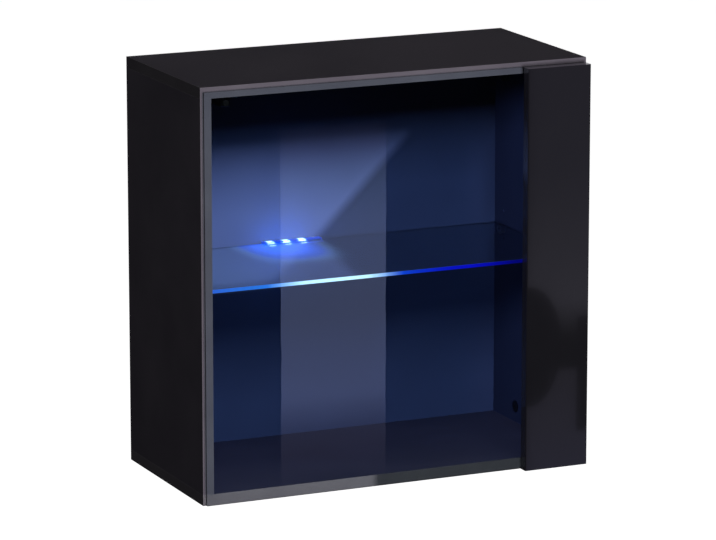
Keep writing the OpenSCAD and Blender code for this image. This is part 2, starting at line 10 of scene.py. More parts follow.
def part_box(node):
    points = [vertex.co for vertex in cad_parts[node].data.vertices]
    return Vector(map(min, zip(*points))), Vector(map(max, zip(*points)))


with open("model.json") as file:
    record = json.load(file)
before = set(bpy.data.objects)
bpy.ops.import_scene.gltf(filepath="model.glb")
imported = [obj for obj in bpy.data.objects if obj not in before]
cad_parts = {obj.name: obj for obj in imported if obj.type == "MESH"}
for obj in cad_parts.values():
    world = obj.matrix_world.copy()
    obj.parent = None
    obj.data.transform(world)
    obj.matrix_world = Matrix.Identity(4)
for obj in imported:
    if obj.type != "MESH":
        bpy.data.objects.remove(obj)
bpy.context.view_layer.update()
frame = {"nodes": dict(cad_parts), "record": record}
nodes = frame["nodes"]

# ---------------------------------------------------------------- camera
CAMERA_PLACE = (-2.5887, -5.8527, 1.1586)
CAMERA_PITCH = math.radians(12.677)
CAMERA_YAW = math.radians(24.399)
CAMERA_LENS = 222.4


def make_camera():
    """A long lens from the front left, a little above the cabinet."""
    data = bpy.data.cameras.new("camera")
    data.lens = CAMERA_LENS
    data.sensor_width = 36.0
    camera = bpy.data.objects.new("camera", data)
    camera.location = CAMERA_PLACE
    camera.rotation_euler = (math.pi / 2 - CAMERA_PITCH, 0.0, -CAMERA_YAW)
    bpy.context.scene.collection.objects.link(camera)
    bpy.context.scene.camera = camera


# ---------------------------------------------------------------- node helpers
def new_material(name):
    """A material with its node tree and its Principled shader."""
    material = bpy.data.materials.new(name)
    material.use_nodes = True
    tree = material.node_tree
    return material, tree, tree.nodes["Principled BSDF"]


def add(tree, kind, settings=None, **inputs):
    """A node with its settings, and its inputs set to values or linked to sockets."""
    node = tree.nodes.new(kind)
    for key, value in (settings or {}).items():
        setattr(node, key, value)
    for key, value in inputs.items():
        plug(tree, value, node.inputs[key.replace("_", " ")])
    return node


def plug(tree, value, socket):
    """Links a socket to the input, or sets the input's value."""
    if isinstance(value, bpy.types.NodeSocket):
        tree.links.new(value, socket)
    else:
        socket.default_value = value


def place(tree, stretch=(1.0, 1.0, 1.0)):
    """The point on the piece in metres, stretched along each axis."""
    coords = add(tree, "ShaderNodeTexCoord")
    return add(tree, "ShaderNodeMapping", Vector=coords.outputs["Object"], Scale=stretch).outputs["Vector"]


def noise(tree, scale, detail, stretch=(1.0, 1.0, 1.0), distortion=0.0):
    """A noise value from 0 to 1, in cells per metre."""
    made = add(tree, "ShaderNodeTexNoise", Vector=place(tree, stretch), Scale=scale, Detail=detail,
               Distortion=distortion)
    return made.outputs["Fac"]


def spread(tree, value, low, high, start=0.0, end=1.0):
    """Maps a value from start..end to low..high."""
    made = add(tree, "ShaderNodeMapRange", Value=value, From_Min=start, From_Max=end, To_Min=low, To_Max=high)
    return made.outputs["Result"]


def ramp(tree, value, stops):
    """A colour ramp through (place, colour) stops."""
    made = add(tree, "ShaderNodeValToRGB", Fac=value)
    elements = made.color_ramp.elements
    while len(elements) < len(stops):
        elements.new(0.5)
    for element, (where, colour) in zip(elements, stops):
        element.position = where
        element.color = (*colour, 1.0)
    return made.outputs["Color"]


def tones(tree, value, dark, pale):
    """Goes from a dark to a pale tone over the middle of a noise's spread."""
    return ramp(tree, value, [(0.3, dark), (0.7, pale)])


def blend(tree, amount, first, second):
    """Mixes two colours."""
    made = tree.nodes.new("ShaderNodeMix")
    made.data_type = "RGBA"
    for value, index in ((amount, 0), (first, 6), (second, 7)):
        if not isinstance(value, bpy.types.NodeSocket) and index > 0:
            value = (*value, 1.0)
        plug(tree, value, made.inputs[index])
    return made.outputs[2]


def calc(tree, kind, first, second):
    """One step of arithmetic."""
    made = tree.nodes.new("ShaderNodeMath")
    made.operation = kind
    plug(tree, first, made.inputs[0])
    plug(tree, second, made.inputs[1])
    return made.outputs[0]


def bump(tree, shader, height, depth, strength):
    """Turns a height from 0 to 1 into bumps of a depth in metres."""
    made = add(tree, "ShaderNodeBump", Height=height, Distance=depth, Strength=strength)
    tree.links.new(made.outputs["Normal"], shader.inputs["Normal"])


def edge_mask(tree, radius):
    """About 1 on edges and corners, and 0 on open faces."""
    rounded = add(tree, "ShaderNodeBevel", {"samples": 6}, Radius=radius)
    flat = add(tree, "ShaderNodeNewGeometry")
    dot = add(tree, "ShaderNodeVectorMath", {"operation": "DOT_PRODUCT"})
    tree.links.new(rounded.outputs["Normal"], dot.inputs[0])
    tree.links.new(flat.outputs["Normal"], dot.inputs[1])
    return spread(tree, dot.outputs["Value"], 1.0, 0.0, 0.82, 0.995)


# ---------------------------------------------------------------- materials
# How far from an emitter's middle its painted bright spot reaches, in metres
SPOT_REACH = 0.0105
# Depth of glass that counts as the surface, in metres
GLASS_SKIN = 0.0006
# The faint body tint and the share of lamp light that gets through
SHELF_TINTS = (0.86, 0.93, 0.97), (0.90, 0.96, 1.0)
SHELF_PASSED = (0.44, 0.48, 0.54)
# Colours of the painted glow on the shelf's front edge and top face, standing for the emitters' light carried
# in the glass
DEEP_BLUE = (0.003, 0.006, 0.72)
BRIGHT_BLUE = (0.012, 0.22, 1.0)
SPILL_BLUE = (0.012, 0.11, 0.95)
PALE_BLUE = (0.30, 0.58, 1.0)
LED_WHITE = (0.50, 0.88, 1.0)


def laminated_board():
    """Black melamine: a fine pressed grain, faint cloudiness and paler edges, a painted highlight."""
    material, tree, shader = new_material("laminated_board")
    cloud = noise(tree, 9.0, 4.0)
    grain = noise(tree, 2600.0, 2.0)
    colour = tones(tree, cloud, (0.0165, 0.0148, 0.0185), (0.0215, 0.0193, 0.0235))
    speck = spread(tree, grain, 0.0, 0.35, 0.55, 0.85)
    colour = blend(tree, speck, colour, (0.034, 0.032, 0.037))
    # Paler edges: a painted highlight
    painted_edge_highlight = calc(tree, "MULTIPLY", edge_mask(tree, 0.0012), 0.35)
    plug(tree, blend(tree, painted_edge_highlight, colour, (0.06, 0.057, 0.062)), shader.inputs["Base Color"])
    plug(tree, spread(tree, grain, 0.52, 0.68), shader.inputs["Roughness"])
    shader.inputs["Specular IOR Level"].default_value = 0.22
    bump(tree, shader, grain, 0.00004, 0.5)
    return material


def fibreboard_back():
    """Black painted hardboard with a fine fibre pattern."""
    material, tree, shader = new_material("fibreboard_back")
    fibre = noise(tree, 900.0, 3.0, (1.0, 1.0, 2.2), 1.0)
    cloud = noise(tree, 7.0, 3.0)
    colour = tones(tree, cloud, (0.046, 0.048, 0.054), (0.058, 0.060, 0.066))
    colour = blend(tree, spread(tree, fibre, 0.0, 0.3, 0.45, 0.75), colour, (0.066, 0.068, 0.074))
    plug(tree, colour, shader.inputs["Base Color"])
    plug(tree, spread(tree, fibre, 0.42, 0.62), shader.inputs["Roughness"])
    shader.inputs["Specular IOR Level"].default_value = 0.3
    bump(tree, shader, fibre, 0.00003, 0.4)
    return material


def edging():
    """Plastic edging: drawn lines along the strip and paler corners and edges, a painted highlight."""
    material, tree, shader = new_material("edging")
    lines = noise(tree, 900.0, 2.0, (0.04, 1.0, 1.0))
    cloud = noise(tree, 14.0, 3.0)
    colour = tones(tree, cloud, (0.0175, 0.0160, 0.0185), (0.0215, 0.0200, 0.0225))
    # Paler corners and edges: a painted highlight
    painted_edge_highlight = calc(tree, "MULTIPLY", edge_mask(tree, 0.0009), 0.3)
    plug(tree, blend(tree, painted_edge_highlight, colour, (0.045, 0.043, 0.046)), shader.inputs["Base Color"])
    plug(tree, spread(tree, lines, 0.38, 0.55), shader.inputs["Roughness"])
    bump(tree, shader, lines, 0.00003, 0.5)
    return material


def beech():
    """Turned beech with long grain and short dark flecks."""
    material, tree, shader = new_material("beech")
    grain = noise(tree, 700.0, 5.0, (1.0, 1.0, 0.06), 0.6)
    fleck = noise(tree, 1500.0, 1.0, (1.0, 1.0, 0.25))
    colour = tones(tree, grain, (0.50, 0.30, 0.15), (0.66, 0.45, 0.26))
    plug(tree, blend(tree, spread(tree, fleck, 0.0, 0.6, 0.62, 0.7), colour, (0.33, 0.18, 0.08)),
         shader.inputs["Base Color"])
    plug(tree, spread(tree, grain, 0.55, 0.75), shader.inputs["Roughness"])
    bump(tree, shader, grain, 0.0001, 0.6)
    return material


def metal(name, dark, pale, rough, lines, pits):
    """A metal with drawing lines, cloudy oxide and fine pits."""
    material, tree, shader = new_material(name)
    brushed = noise(tree, 1600.0, 3.0, (1.0, lines, lines))
    cloud = noise(tree, 160.0, 4.0, distortion=0.8)
    specks = noise(tree, 3500.0, 1.0)
    colour = tones(tree, cloud, dark, pale)
    # Brighter edges and corners: a painted highlight
    painted_edge_highlight = calc(tree, "MULTIPLY", edge_mask(tree, 0.0004), 0.5)
    bright = tuple(min(1.0, 1.25 * level) for level in pale)
    plug(tree, blend(tree, painted_edge_highlight, colour, bright), shader.inputs["Base Color"])
    shader.inputs["Metallic"].default_value = 1.0
    plug(tree, spread(tree, brushed, rough[0], rough[1]), shader.inputs["Roughness"])
    height = calc(tree, "ADD", brushed, calc(tree, "MULTIPLY", specks, pits))
    bump(tree, shader, height, 0.00003, 0.5)
    return material


def zinc_steel():
    """Zinc-plated pressed steel."""
    return metal("zinc_steel", (0.50, 0.52, 0.55), (0.66, 0.67, 0.68),
                 rough=(0.24, 0.42), lines=0.08, pits=0.2)


def cast_zinc():
    """Die-cast zinc, rough and pitted."""
    return metal("cast_zinc", (0.40, 0.40, 0.41), (0.52, 0.52, 0.53),
                 rough=(0.42, 0.60), lines=0.9, pits=1.2)


def nickel_steel():
    """Nickel-plated steel, warm and smooth."""
    return metal("nickel_steel", (0.55, 0.53, 0.50), (0.70, 0.68, 0.64),
                 rough=(0.15, 0.30), lines=0.06, pits=0.1)


def anodised_aluminium():
    """Drawn and anodised aluminium."""
    return metal("anodised_aluminium", (0.30, 0.32, 0.35), (0.40, 0.42, 0.46),
                 rough=(0.28, 0.42), lines=0.03, pits=0.2)


def plastic(name, dark, pale, rough, grain_scale, depth):
    """Moulded plastic with a spark-eroded texture and faint flow marks."""
    material, tree, shader = new_material(name)
    flow = noise(tree, 30.0, 4.0, distortion=1.2)
    grain = noise(tree, grain_scale, 2.0)
    colour = tones(tree, flow, dark, pale)
    # Paler edges and corners: a painted highlight
    painted_edge_highlight = calc(tree, "MULTIPLY", edge_mask(tree, 0.0004), 0.35)
    bright = tuple(min(1.0, 0.03 + 1.4 * level) for level in pale)
    plug(tree, blend(tree, painted_edge_highlight, colour, bright), shader.inputs["Base Color"])
    plug(tree, spread(tree, grain, rough[0], rough[1]), shader.inputs["Roughness"])
    bump(tree, shader, grain, depth, 0.6)
    return material


def black_plastic():
    """Black moulded plastic."""
    return plastic("black_plastic", (0.013, 0.012, 0.014), (0.018, 0.017, 0.020),
                   rough=(0.40, 0.58), grain_scale=1800.0, depth=0.00005)


def clear_plastic():
    """Milky clear plastic."""
    return plastic("clear_plastic", (0.66, 0.70, 0.73), (0.80, 0.83, 0.85),
                   rough=(0.22, 0.36), grain_scale=900.0, depth=0.00003)


def soft_rubber():
    """Dull black rubber."""
    return plastic("soft_rubber", (0.024, 0.024, 0.027), (0.034, 0.034, 0.037),
                   rough=(0.68, 0.86), grain_scale=1400.0, depth=0.00008)


def bonding_tape():
    """Black foam tape."""
    return plastic("bonding_tape", (0.014, 0.014, 0.016), (0.024, 0.024, 0.027),
                   rough=(0.75, 0.9), grain_scale=1100.0, depth=0.0001)


def white_board():
    """Circuit board: white resist over raised tracks."""
    material, tree, shader = new_material("white_board")
    tracks = add(tree, "ShaderNodeTexBrick", Vector=place(tree), Scale=260.0, Mortar_Size=0.03).outputs["Fac"]
    resist = noise(tree, 900.0, 3.0)
    colour = tones(tree, resist, (0.76, 0.78, 0.76), (0.86, 0.87, 0.85))
    plug(tree, blend(tree, calc(tree, "MULTIPLY", tracks, 0.5), colour, (0.55, 0.50, 0.36)),
         shader.inputs["Base Color"])
    plug(tree, spread(tree, resist, 0.25, 0.4), shader.inputs["Roughness"])
    bump(tree, shader, tracks, 0.00004, 0.6)
    return material


def gloss_lacquer():
    """Polished black lacquer: slight orange peel, settled dust and hair-fine swirls."""
    material, tree, shader = new_material("gloss_lacquer")
    cloud = noise(tree, 5.0, 3.0)
    dust = noise(tree, 1200.0, 1.0)
    peel = noise(tree, 210.0, 2.0)
    swirl = noise(tree, 60.0, 5.0, (1.0, 1.0, 0.2), 2.0)
    colour = tones(tree, cloud, (0.0125, 0.0118, 0.0165), (0.0165, 0.0155, 0.0205))
    plug(tree, blend(tree, spread(tree, dust, 0.0, 0.25, 0.72, 0.8), colour, (0.05, 0.05, 0.055)),
         shader.inputs["Base Color"])
    plug(tree, spread(tree, swirl, 0.03, 0.07), shader.inputs["Roughness"])
    shader.inputs["Coat Weight"].default_value = 0.5
    shader.inputs["Coat Roughness"].default_value = 0.02
    bump(tree, shader, peel, 0.00001, 0.15)
    return material


def glass(name, tint, pale_tint, passed):
    """Float glass with a body tint and soft waviness. It lets the passed share of lamp light through."""
    material, tree, shader = new_material(name)
    cloud = noise(tree, 6.0, 2.0)
    wave = noise(tree, 12.0, 2.0, distortion=0.5)
    plug(tree, tones(tree, cloud, tint, pale_tint), shader.inputs["Base Color"])
    shader.inputs["Transmission Weight"].default_value = 1.0
    shader.inputs["IOR"].default_value = 1.5
    shader.inputs["Roughness"].default_value = 0.0
    bump(tree, shader, wave, 0.0002, 0.05)
    clear = add(tree, "ShaderNodeBsdfTransparent", Color=(*passed, 1.0))
    path = add(tree, "ShaderNodeLightPath")
    mix = tree.nodes.new("ShaderNodeMixShader")
    tree.links.new(path.outputs["Is Shadow Ray"], mix.inputs[0])
    tree.links.new(shader.outputs[0], mix.inputs[1])
    tree.links.new(clear.outputs[0], mix.inputs[2])
    tree.links.new(mix.outputs[0], tree.nodes["Material Output"].inputs["Surface"])
    return material, tree, shader


def door_glass():
    """Clear pane of the door."""
    return glass("door_glass", (0.90, 0.94, 0.95), (0.93, 0.96, 0.97), (0.86, 0.93, 0.95))[0]


def glass_edge(name, dark, pale):
    """Ground edge of a pane: dark, frosted and lightly chipped."""
    material, tree, shader = new_material(name)
    frost = noise(tree, 1500.0, 3.0)
    chips = noise(tree, 240.0, 2.0)
    chipped = tuple(0.04 + level for level in pale)
    colour = tones(tree, frost, dark, pale)
    plug(tree, blend(tree, spread(tree, chips, 0.0, 0.5, 0.66, 0.8), colour, chipped),
         shader.inputs["Base Color"])
    plug(tree, spread(tree, frost, 0.25, 0.5), shader.inputs["Roughness"])
    bump(tree, shader, frost, 0.00004, 0.5)
    return material


def near(tree, coordinate, middle, reach):
    """1 at a place along one axis, falling smoothly to 0 at a reach either side."""
    offset = calc(tree, "ABSOLUTE", calc(tree, "SUBTRACT", coordinate, middle), 0.0)
    made = add(tree, "ShaderNodeMapRange", {"interpolation_type": "SMOOTHERSTEP"}, Value=offset, From_Min=0.0,
               From_Max=reach, To_Min=1.0, To_Max=0.0)
    return made.outputs["Result"]


def emitter_places():
    """X close to the middle of each emitter. The outer two lie half an emitter's height in from the ends."""
    low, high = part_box("led_emitters")
    half = (high.z - low.z) / 2
    return low.x + half, (low.x + high.x) / 2, high.x - half


def emitter_spots(tree, across):
    """1 in front of each emitter, falling to 0 at the spots' reach either side."""
    painted_spots = 0.0
    for x in emitter_places():
        painted_spots = calc(tree, "ADD", near(tree, across, x, SPOT_REACH), painted_spots)
    return painted_spots


def shelf_glass():
    """Shelf glass with a painted glow on its front edge and top face, standing for the light that the emitters
    feed in at the rear.
    """
    material, tree, shader = glass("shelf_glass", *SHELF_TINTS, SHELF_PASSED)
    low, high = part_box("glass_shelf")
    middle = emitter_places()[1]
    split = add(tree, "ShaderNodeSeparateXYZ", Vector=place(tree))
    across, deep, tall = (split.outputs[axis] for axis in "XYZ")

    # Front edge: painted glow, nearly white before the emitters, then blue, then deep blue
    core = near(tree, across, middle - 0.032, 0.14)
    mid = near(tree, across, middle - 0.09, 0.27)
    front = spread(tree, deep, 1.0, 0.0, low.y + GLASS_SKIN, low.y + 2 * GLASS_SKIN)
    uneven = spread(tree, noise(tree, 160.0, 3.0, (1.0, 0.0, 0.0)), 0.8, 1.15)
    fade = spread(tree, across, 0.8, 0.25, 0.12, 0.19)
    painted_edge_glow = calc(tree, "ADD", calc(tree, "MULTIPLY", core, 0.7), fade)
    painted_edge_glow = calc(tree, "MULTIPLY", calc(tree, "MULTIPLY", painted_edge_glow, uneven), front)
    blue = blend(tree, mid, DEEP_BLUE, BRIGHT_BLUE)
    blue = blend(tree, spread(tree, core, 0.0, 1.0, 0.1, 0.75), blue, (0.50, 0.86, 1.0))

    # Top face: painted glow spots at the clip's windows, a painted spill of light in front of them, and a
    # faint painted haze of light towards the left end
    top = spread(tree, tall, 0.0, 1.0, high.z - GLASS_SKIN, high.z - 0.0001)
    painted_spots = calc(tree, "MULTIPLY", emitter_spots(tree, across), near(tree, deep, high.y, 0.016))
    painted_spill = calc(tree, "MULTIPLY", near(tree, across, middle - 0.02, 0.085), near(tree, deep, high.y, 0.17))
    painted_haze = calc(tree, "MULTIPLY", near(tree, across, low.x, 0.24), 0.03)
    painted_top_glow = calc(tree, "ADD", calc(tree, "MULTIPLY", painted_spots, 2.2), painted_spill)
    painted_top_glow = calc(tree, "MULTIPLY", calc(tree, "ADD", painted_top_glow, painted_haze), top)
    painted_glow_colour = blend(tree, spread(tree, painted_spill, 0.0, 1.0, 0.0, 0.25), PALE_BLUE, SPILL_BLUE)
    painted_glow_colour = blend(tree, calc(tree, "MINIMUM", painted_spots, 1.0), painted_glow_colour, LED_WHITE)
    plug(tree, blend(tree, front, painted_glow_colour, blue), shader.inputs["Emission Color"])
    plug(tree, calc(tree, "ADD", painted_edge_glow, painted_top_glow), shader.inputs["Emission Strength"])
    return material


def clip_with_painted_glow():
    """Anodised clip, with a painted glow on the metal round its windows, standing for the light that leaks
    from them.
    """
    material = metal("clip_with_painted_glow", (0.30, 0.32, 0.35), (0.40, 0.42, 0.46), (0.28, 0.42), 0.03, 0.2)
    tree = material.node_tree
    shader = tree.nodes["Principled BSDF"]
    split = add(tree, "ShaderNodeSeparateXYZ", Vector=place(tree))
    painted_spots = emitter_spots(tree, split.outputs["X"])
    # Painted glow on the metal round the clip's windows
    glow = ramp(tree, painted_spots, [
        (0.0, (0.0, 0.05, 0.8)),
        (0.35, (0.01, 0.15, 1.0)),
        (0.7, (0.55, 0.92, 1.0)),
    ])
    plug(tree, glow, shader.inputs["Emission Color"])
    plug(tree, spread(tree, painted_spots, 0.7, 1.7, 0.0, 0.8), shader.inputs["Emission Strength"])
    return material


def led_lens():
    """Lit resin lens, brightest in the middle of each emitter."""
    material, tree, shader = new_material("led_lens")
    speck = noise(tree, 1400.0, 2.0)
    resin = tones(tree, speck, (0.75, 0.85, 1.0), (0.9, 0.95, 1.0))
    plug(tree, resin, shader.inputs["Base Color"])
    plug(tree, spread(tree, speck, 0.08, 0.2), shader.inputs["Roughness"])
    shader.inputs["Emission Color"].default_value = (0.45, 0.70, 1.0, 1.0)
    plug(tree, spread(tree, speck, 5.0, 8.0), shader.inputs["Emission Strength"])
    bump(tree, shader, speck, 0.00003, 0.4)
    return material


# What makes the finish of each material slot
MAKERS = {
    "laminated_board": laminated_board,
    "fibreboard_back": fibreboard_back,
    "edging": edging,
    "beech": beech,
    "zinc_steel": zinc_steel,
    "cast_zinc": cast_zinc,
    "nickel_steel": nickel_steel,
    "anodised_aluminium": anodised_aluminium,
    "black_plastic": black_plastic,
    "clear_plastic": clear_plastic,
    "soft_rubber": soft_rubber,
    "bonding_tape": bonding_tape,
    "white_board": white_board,
    "gloss_lacquer": gloss_lacquer,
    "door_glass": door_glass,
    "shelf_glass": shelf_glass,
    "led_lens": led_lens,
}

# Radius of the broken edge on each kind of piece, in metres
EDGE_RADIUS = {
    "laminated_board": 0.0004,
    "edging": 0.0006,
    "gloss_lacquer": 0.0009,
    "black_plastic": 0.0003,
    "nickel_steel": 0.00025,
    "zinc_steel": 0.0003,
    "anodised_aluminium": 0.00015,
    "door_glass": 0.0004,
}


def dress(node, slot, material):
    """Gives a CAD node its material and, on most slots, broken edges."""
    piece = nodes[node]
    piece.data.materials.clear()
    piece.data.materials.append(material)
    if slot in EDGE_RADIUS:
        soft = piece.modifiers.new("broken_edges", "BEVEL")
        soft.width = EDGE_RADIUS[slot]
        soft.segments = 2
        soft.limit_method = "ANGLE"
        soft.angle_limit = math.radians(40)
        soft.use_clamp_overlap = True
        soft.harden_normals = True


def dress_faces(node, material, chosen):
    """Gives a second finish to the faces that the test picks."""
    mesh = nodes[node].data
    mesh.materials.append(material)
    for face in mesh.polygons:
        if chosen(face):
            face.material_index = 1


def dress_all():
    """Dresses every node in its slot's finish, then the clip with its painted glow and the ground edges of
    both panes.
    """
    made = {slot: make() for slot, make in MAKERS.items()}
    for part in frame["record"]["subparts"]:
        slot = part["material_slot"]
        dress(part["node"], slot, made[slot])
    dress("led_clip", "anodised_aluminium", clip_with_painted_glow())
    pane_edge = glass_edge("pane_edge", (0.004, 0.005, 0.006), (0.010, 0.013, 0.014))
    dress_faces("door_glass", pane_edge, lambda face: abs(face.normal.y) < 0.5)
    shelf_edge = glass_edge("shelf_edge", (0.002, 0.004, 0.012), (0.003, 0.007, 0.022))
    behind_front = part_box("glass_shelf")[0].y + 0.001
    dress_faces("glass_shelf", shelf_edge,
                lambda face: abs(face.normal.z) < 0.5 and face.center.y > behind_front)


# ---------------------------------------------------------------- studio
def stage_card(name, centre, size, facing, material, rays=("glossy",), seen_in=(), round_sides=0):
    """A flat card, oval if it has sides, that only the named kinds of ray and the named nodes see."""
    half_w, half_h = size[0] / 2, size[1] / 2
    outline = [(-half_w, -half_h, 0), (half_w, -half_h, 0), (half_w, half_h, 0), (-half_w, half_h, 0)]
    if round_sides:
        turns = [math.tau * step / round_sides for step in range(round_sides)]
        outline = [(half_w * math.cos(turn), half_h * math.sin(turn), 0) for turn in turns]
    mesh = bpy.data.meshes.new(name)
    mesh.from_pydata(outline, [], [tuple(range(len(outline)))])
    card = bpy.data.objects.new(name, mesh)
    card.location = centre
    card.rotation_mode = "QUATERNION"
    card.rotation_quaternion = Vector(facing).to_track_quat("Z", "Y")
    for kind in ("camera", "diffuse", "glossy", "transmission", "volume_scatter", "shadow"):
        setattr(card, "visible_" + kind, kind in rays)
    mesh.materials.append(material)
    bpy.context.scene.collection.objects.link(card)
    if seen_in:
        only_on(card, seen_in)
    return card


def floor_material():
    """Pale matt studio floor, evenly bright."""
    material, tree, shader = new_material("studio_floor")
    mottle = noise(tree, 3.0, 3.0)
    pale = tones(tree, mottle, (0.86, 0.86, 0.86), (0.9, 0.9, 0.9))
    plug(tree, pale, shader.inputs["Base Color"])
    shader.inputs["Roughness"].default_value = 0.9
    shader.inputs["Specular IOR Level"].default_value = 0.0
    shader.inputs["Emission Color"].default_value = (1.0, 1.0, 1.0, 1.0)
    shader.inputs["Emission Strength"].default_value = 1.0
    return material


def card_material(name, strength, colour=None, stops=()):
    """A glowing card of one colour, or graded through (height, colour) stops from its bottom to its top."""
    material, tree, shader = new_material(name)
    tree.nodes.remove(shader)
    if stops:
        coords = add(tree, "ShaderNodeTexCoord")
        split = add(tree, "ShaderNodeSeparateXYZ", Vector=coords.outputs["Generated"])
        colour = ramp(tree, split.outputs["Y"], stops)
    glow = add(tree, "ShaderNodeEmission", Color=colour, Strength=strength)
    tree.links.new(glow.outputs[0], tree.nodes["Material Output"].inputs["Surface"])
    return material


def band_card_material():
    """Bluish light card, brightest in its middle and fading to its top and bottom."""
    return card_material("band_card", 2.2, stops=[
        (0.0, (0.0, 0.0, 0.0)),
        (0.10, (0.09, 0.08, 0.12)),
        (0.16, (0.14, 0.14, 0.23)),
        (0.26, (0.40, 0.46, 0.83)),
        (0.72, (0.42, 0.53, 0.95)),
        (0.85, (0.25, 0.32, 0.50)),
        (0.93, (0.10, 0.09, 0.16)),
        (1.0, (0.0, 0.0, 0.0)),
    ])


def strip_card_material():
    """Room seen in the lacquer: a grey wall above a dark skirting and a paler floor."""
    return card_material("strip_card", 1.0, stops=[
        (0.0, (0.24, 0.24, 0.40)),
        (0.285, (0.20, 0.19, 0.25)),
        (0.295, (0.04, 0.04, 0.04)),
        (0.36, (0.05, 0.05, 0.05)),
        (0.43, (0.30, 0.29, 0.36)),
        (0.7, (0.17, 0.165, 0.22)),
        (1.0, (0.13, 0.12, 0.16)),
    ])


def make_world():
    """White to the eye and through glass, and dim for reflections and bounced light."""
    world = bpy.data.worlds.new("studio")
    world.use_nodes = True
    tree = world.node_tree
    dim = tree.nodes["Background"]
    dim.inputs["Color"].default_value = (0.007, 0.007, 0.008, 1.0)
    white = add(tree, "ShaderNodeBackground", Color=(1.0, 1.0, 1.0, 1.0), Strength=1.0)
    path = add(tree, "ShaderNodeLightPath")
    seen = calc(tree, "MAXIMUM", path.outputs["Is Camera Ray"], path.outputs["Is Transmission Ray"])
    bounces = calc(tree, "ADD", path.outputs["Diffuse Depth"], path.outputs["Glossy Depth"])
    seen = calc(tree, "MULTIPLY", seen, calc(tree, "LESS_THAN", bounces, 0.5))
    mix = tree.nodes.new("ShaderNodeMixShader")
    tree.links.new(seen, mix.inputs[0])
    tree.links.new(dim.outputs[0], mix.inputs[1])
    tree.links.new(white.outputs[0], mix.inputs[2])
    tree.links.new(mix.outputs[0], tree.nodes["World Output"].inputs["Surface"])
    bpy.context.scene.world = world


def area_light(name, place_at, target, size, power, colour=(1.0, 1.0, 1.0), mirrored=False):
    """A soft rectangular lamp aimed at a point. Reflections show it only where that is asked for."""
    data = bpy.data.lights.new(name, "AREA")
    data.shape = "RECTANGLE"
    data.size, data.size_y = size
    data.energy = power
    data.color = colour
    lamp = bpy.data.objects.new(name, data)
    lamp.location = place_at
    lamp.rotation_mode = "QUATERNION"
    lamp.rotation_quaternion = (Vector(target) - Vector(place_at)).to_track_quat("-Z", "Y")
    lamp.visible_glossy = mirrored
    lamp.visible_camera = False
    lamp.visible_transmission = False
    bpy.context.scene.collection.objects.link(lamp)
    return lamp


def lay_along(lamp, direction):
    """Rolls a lamp about its aim until its long side follows a direction."""
    back = lamp.rotation_quaternion @ Vector((0, 0, 1))
    side = (direction - back * direction.dot(back)).normalized()
    lamp.rotation_quaternion = Matrix((side, back.cross(side), back)).transposed().to_quaternion()


def only_on(lamp, names):
    """Lets a lamp or a glowing card reach only the named nodes. Gives the lamp back."""
    group = bpy.data.collections.new(lamp.name + "_receivers")
    for name in names:
        group.objects.link(nodes[name])
    lamp.light_linking.receiver_collection = group
    return lamp


def nodes_of(*slots):
    """The nodes that take their finish from the named slots."""
    return [part["node"] for part in frame["record"]["subparts"] if part["material_slot"] in slots]


def mirrored(point, mirror_y, card_y):
    """Where the camera's view of a point on an upright mirror goes on to meet a card's plane."""
    eye = Vector((CAMERA_PLACE[0], 2 * mirror_y - CAMERA_PLACE[1], CAMERA_PLACE[2]))
    target = Vector((point[0], mirror_y, point[1]))
    return eye + (target - eye) * ((eye.y - card_y) / (eye.y - mirror_y))


FLOOR_Z = -1.95
# Nodes that share their lamps: the lit faces inside, and the small pieces on them
INNER_FACES = ["back_panel", "bottom_panel", "left_side_panel", "right_side_panel"]
FITTINGS = ["hanger_covers", "hanger_housings", "latch_plunger", "latch_tip", "led_board", "cam_caps"]
SHADED = [
    "shelf_pads", "shelf_pins", "latch_body", "latch_screws", "latch_spring", "led_clip", "led_clip_pads",
]
ROOM_BLUE = (0.24, 0.36, 1.0)
MIDDLE = (0, -0.2, -0.2)
METAL_LAMPS = {
    "metal_left": (-2.4, -2.4, 1.4),
    "metal_right": (2.6, -2.4, 0.6),
    "metal_low": (-0.6, -3.2, -1.6),
    "metal_top": (0.0, 0.0, 3.2),
    "metal_rear_left": (-2.2, 2.8, 0.8),
    "metal_rear_right": (2.2, 2.8, 0.8),
}
# How far before the strip the shade cards stand, and before the pane the mirrored cards
SHADE_GAP = 0.02
CARD_DISTANCE = 3.0


def make_outer_lamps():
    """Soft light on the outside of the cabinet, on its fittings and on its metal pieces."""
    indoors = ["back_panel", "bottom_panel", "right_side_panel"] + FITTINGS + SHADED
    outside = [name for name in nodes if name not in indoors]
    only_on(area_light("key", (-0.6, -3.6, 2.6), MIDDLE, (2.4, 1.6), 60.0), outside)
    only_on(area_light("side_fill", (-4.2, -0.6, 0.6), MIDDLE, (2.4, 2.4), 78.0), outside)
    area_light("right_fill", (4.0, 0.3, 0.8), MIDDLE, (2.4, 2.4), 70.0)
    area_light("top_fill", (0.2, -0.9, 3.2), (0, -0.1, 0), (2.2, 2.2), 80.0)
    area_light("rear_fill", (1.4, 3.6, 0.6), (0, 0, -0.2), (2.0, 2.0), 60.0)
    only_on(area_light("fittings_fill", (-1.6, -2.6, 0.9), MIDDLE, (1.0, 1.0), 8.0), FITTINGS)
    metals = [name for name in nodes_of("zinc_steel", "cast_zinc", "nickel_steel") if name not in SHADED]
    for name, place_at in METAL_LAMPS.items():
        only_on(area_light(name, place_at, MIDDLE, (2.8, 2.8), 36.0, mirrored=True), metals)
    front = area_light("front_rim", (0.2, -4.0, -0.2), (0, -0.28, -0.24), (1.2, 1.2), 850.0,
                       (1.0, 0.95, 1.03))
    only_on(front, ["top_panel_edging", "side_panel_edging"])
    strip = area_light("strip_light", (0.3, -3.0, 0.4), (0.25, -0.3, -0.24), (1.0, 1.0), 8.0)
    only_on(strip, ["door_strip"])


